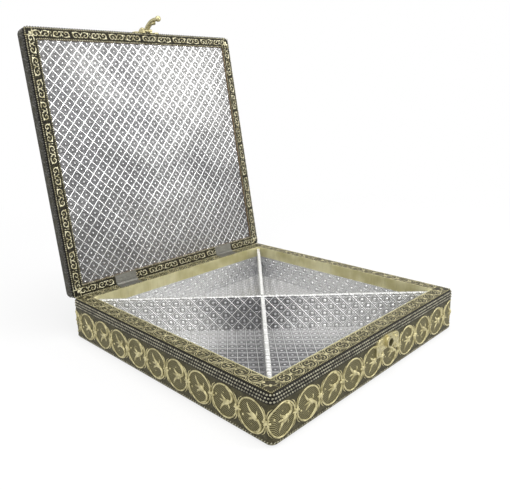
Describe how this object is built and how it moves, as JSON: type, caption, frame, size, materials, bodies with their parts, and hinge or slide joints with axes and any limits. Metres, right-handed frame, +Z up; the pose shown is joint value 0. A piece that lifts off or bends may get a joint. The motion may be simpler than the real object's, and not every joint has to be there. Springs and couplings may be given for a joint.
{
  "type": "dry fruit box",
  "caption": "Low square box dressed in embossed sheet, with crossed dividers inside, a hinged lid standing open and a swinging latch tongue.",
  "frame": {"origin": "centre of the base's underside", "axes": "+Z up, +Y towards the hinged back, +X to the right seen from the latch"},
  "size_m": [0.23, 0.2853, 0.2749],
  "materials": {
    "wood_board": "bare fibreboard",
    "embossed_sheet": "embossed thin sheet, dark patina with raised work rubbed to pale gold",
    "dark_sheet": "embossed thin sheet, gunmetal patina",
    "gold_foil": "gold lacquered smooth strip, slightly creased",
    "silver_foil": "embossed silver foil on card",
    "felt": "thin felt",
    "hinge_steel": "grey plated steel",
    "latch_brass": "bright gold plated casting"
  },
  "bodies": {
    "base": {"base_felt": "felt", "base_floor_board": "wood_board", "base_side_sheet": "embossed_sheet", "base_front_wall": "wood_board", "base_right_wall": "wood_board", "base_back_wall": "wood_board", "base_left_wall": "wood_board", "base_rim_front": "embossed_sheet", "base_rim_right": "embossed_sheet", "base_rim_back": "embossed_sheet", "base_rim_left": "embossed_sheet", "gold_band_front": "gold_foil", "gold_band_right": "gold_foil", "gold_band_back": "gold_foil", "gold_band_left": "gold_foil", "wall_lining_front": "silver_foil", "wall_lining_right": "silver_foil", "wall_lining_back": "silver_foil", "wall_lining_left": "silver_foil", "floor_lining": "silver_foil", "divider_front_left_to_back_right": "silver_foil", "divider_front_right_to_back_left": "silver_foil", "hinge_left_base_leaf": "hinge_steel", "hinge_right_base_leaf": "hinge_steel", "hinge_left_pin": "hinge_steel", "hinge_right_pin": "hinge_steel", "hinge_base_screws": "hinge_steel", "latch_catch_plate": "latch_brass", "latch_catch_nails": "latch_brass"},
    "lid": {"lid_top_board": "wood_board", "lid_packing_board": "wood_board", "lid_lining_panel": "silver_foil", "lid_side_sheet": "dark_sheet", "lid_top_sheet": "dark_sheet", "lid_front_rail": "wood_board", "lid_right_rail": "wood_board", "lid_back_rail": "wood_board", "lid_left_rail": "wood_board", "lid_rim_front": "embossed_sheet", "lid_rim_right": "embossed_sheet", "lid_rim_back": "embossed_sheet", "lid_rim_left": "embossed_sheet", "hinge_left_lid_leaf": "hinge_steel", "hinge_right_lid_leaf": "hinge_steel", "hinge_lid_screws": "hinge_steel", "latch_lid_leaf": "latch_brass", "latch_leaf_nails": "latch_brass", "latch_pin": "latch_brass"},
    "tongue": {"latch_tongue": "latch_brass"}
  },
  "joints": [
    {"name": "lid_hinge", "type": "hinge", "parent": "base", "child": "lid", "pos_m": [0, 0.1134, 0.03625], "axis": [1, 0, 0], "range_deg": [0, 100]},
    {"name": "tongue_hinge", "type": "hinge", "parent": "lid", "child": "tongue", "pos_m": [0.009, 0.15569, 0.26315], "axis": [-1, 0, 0], "range_deg": [-10, 70]}
  ]
}
